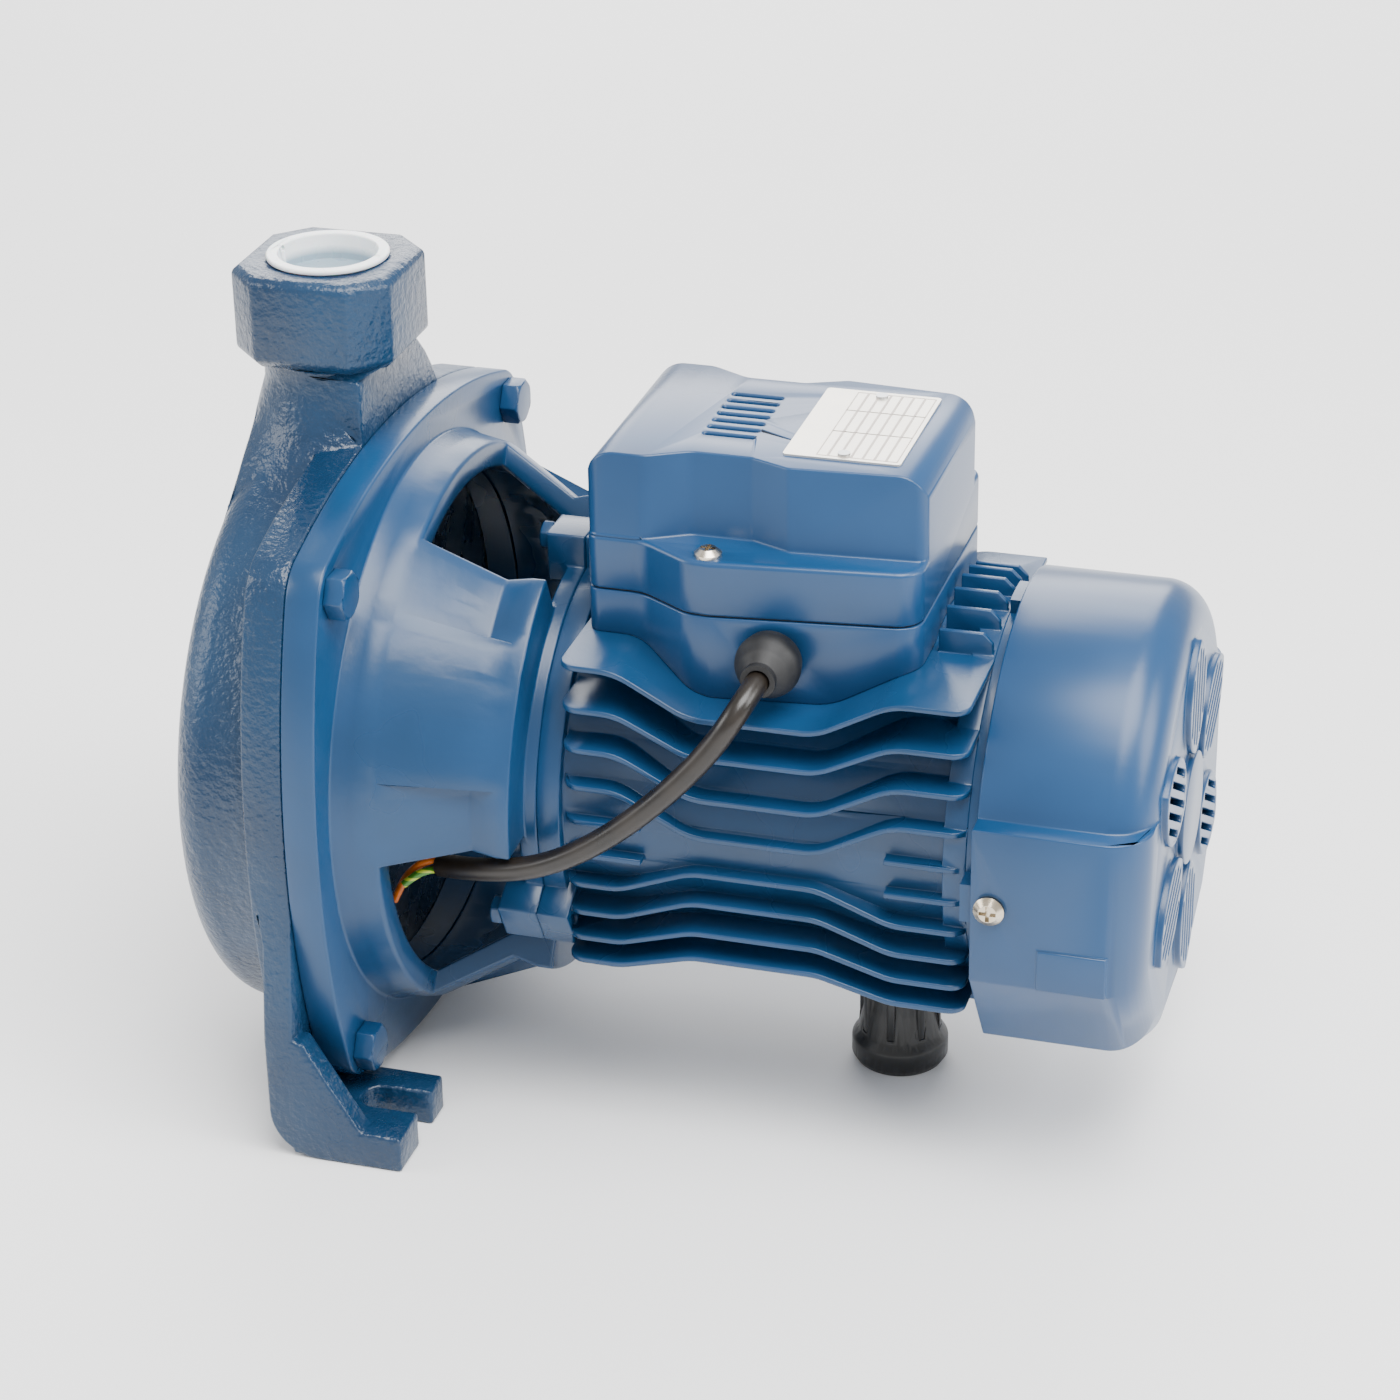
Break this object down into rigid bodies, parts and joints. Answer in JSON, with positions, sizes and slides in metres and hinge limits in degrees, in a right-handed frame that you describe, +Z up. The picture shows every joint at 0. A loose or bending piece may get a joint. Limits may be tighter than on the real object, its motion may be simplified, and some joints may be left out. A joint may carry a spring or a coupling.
{
  "type": "centrifugal water pump",
  "caption": "Close-coupled electric centrifugal water pump with slotted cast feet, threaded ports on top and in front, finned motor, terminal box and fan cover.",
  "frame": {"origin": "on the floor under the feet, at the middle of the pump's overall length and in its middle plane", "axes": "+Z up, +X along the shaft from the suction port towards the fan, +Y to the left side seen from the suction port looking along +X"},
  "size_m": [0.307, 0.207, 0.25],
  "materials": {
    "cast_blue": "rough sprayed paint on cast iron",
    "smooth_blue": "satin sprayed paint on die-cast aluminium",
    "blue_plastic": "semi-gloss moulded plastic",
    "zinc_steel": "yellowish zinc plated",
    "stainless": "pressed stainless steel",
    "steel": "ground steel",
    "ball_steel": "polished",
    "brass": "machined",
    "ceramic": "polished ceramic",
    "black_rubber": "matte moulded rubber",
    "lamination": "varnished electrical sheet",
    "cast_aluminium": "as cast",
    "copper_winding": "varnished copper wire",
    "black_plastic": "matte moulded plastic",
    "white_plastic": "translucent natural plastic",
    "label": "satin anodised plate",
    "cable_black": "semi-matte rubber sheath",
    "brown_insulation": "pvc",
    "blue_insulation": "pvc",
    "earth_insulation": "pvc, green with yellow stripe",
    "capacitor_white": "moulded can"
  },
  "bodies": {
    "pump": {"pump_casing": "cast_blue", "casing_bolts": "smooth_blue", "filler_plug": "brass", "drain_plug": "brass", "backplate": "stainless", "casing_o_ring": "black_rubber", "seal_seat": "ceramic", "seal_seat_gasket": "black_rubber", "motor_bracket": "smooth_blue", "motor_bolts": "smooth_blue", "bearing_outer_rings": "steel", "wave_washer": "steel", "motor_housing": "smooth_blue", "stator_core": "lamination", "stator_windings": "copper_winding", "rear_end_shield": "smooth_blue", "rear_shield_screws": "zinc_steel", "fan_cover": "blue_plastic", "fan_cover_screws": "zinc_steel", "terminal_box_base": "blue_plastic", "lid_gasket": "black_rubber", "terminal_box_lid": "blue_plastic", "lid_screws": "zinc_steel", "nameplate": "label", "nameplate_rivets": "cast_aluminium", "terminal_block": "black_plastic", "terminal_screws": "brass", "capacitor": "capacitor_white", "capacitor_clip": "black_plastic", "cable_gland": "black_rubber", "power_cable": "cable_black", "brown_core": "brown_insulation", "blue_core": "blue_insulation", "earth_core": "earth_insulation", "support_foot": "black_plastic", "support_foot_screw": "zinc_steel"},
    "rotor": {"shaft": "steel", "impeller": "brass", "impeller_key": "steel", "impeller_nut": "stainless", "impeller_washer": "stainless", "seal_head": "stainless", "seal_spring": "stainless", "bearing_inner_rings": "steel", "slinger": "black_rubber", "rotor_core": "lamination", "rotor_cage": "cast_aluminium", "fan": "black_plastic", "fan_clip": "steel"},
    "ball_sets": {"bearing_ball_sets": "ball_steel", "bearing_cages": "steel"},
    "plug": {"discharge_plug": "white_plastic"}
  },
  "joints": [
    {"name": "shaft_spin", "type": "hinge", "parent": "pump", "child": "rotor", "pos_m": [-0.1105, 0, 0.1], "axis": [1, 0, 0], "continuous": true},
    {"name": "ball_orbit", "type": "hinge", "parent": "pump", "child": "ball_sets", "pos_m": [-0.1105, 0, 0.1], "axis": [1, 0, 0], "continuous": true},
    {"name": "plug_pull", "type": "slide", "parent": "pump", "child": "plug", "axis": [0, 0, 1], "range_m": [0, 0.05]}
  ],
  "couplings": [
    {"joint": "ball_orbit", "follows": "shaft_spin", "ratio": 0.3816}
  ]
}
